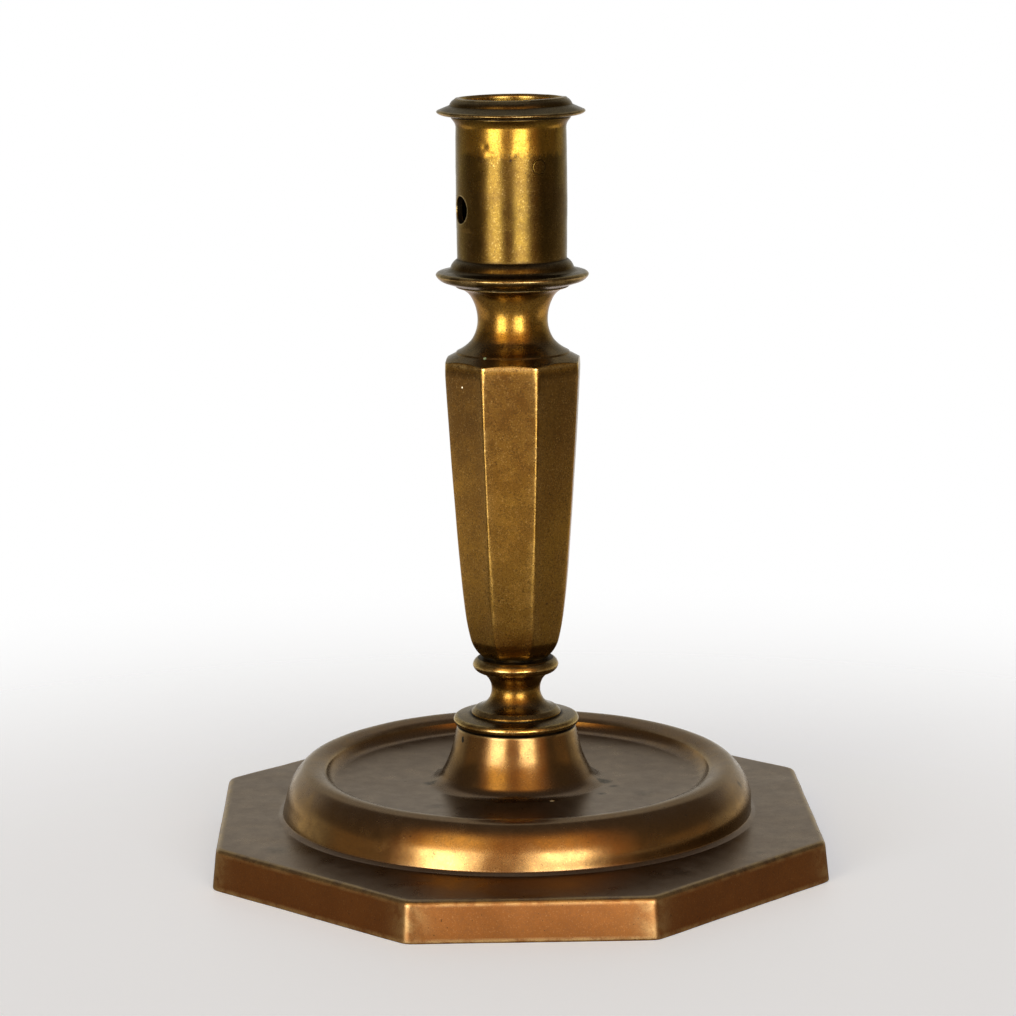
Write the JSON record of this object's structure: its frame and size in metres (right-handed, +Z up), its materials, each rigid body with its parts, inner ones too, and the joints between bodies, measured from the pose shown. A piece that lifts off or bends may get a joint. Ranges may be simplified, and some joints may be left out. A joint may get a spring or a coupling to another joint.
{
  "type": "candlestick",
  "caption": "Antique brass candlestick with an octagonal foot, round drip well, faceted baluster stem and cylindrical candle socket with an extraction hole.",
  "frame": {"origin": "centre of the resting face, on the stem's axis", "axes": "+Z up along the stem, -Y towards the front flat of the octagonal foot"},
  "size_m": [0.139, 0.1466, 0.175],
  "materials": {
    "foot_brass": "cast brass with a worn brown patina",
    "stem_brass": "cast and filed brass with a worn golden-brown patina",
    "socket_brass": "turned brass with a worn golden-brown patina",
    "plug_brass": "darker filled core hole"
  },
  "bodies": {
    "root": {"foot": "foot_brass", "stem": "stem_brass", "candle_socket": "socket_brass", "socket_plug": "plug_brass"}
  },
  "joints": []
}
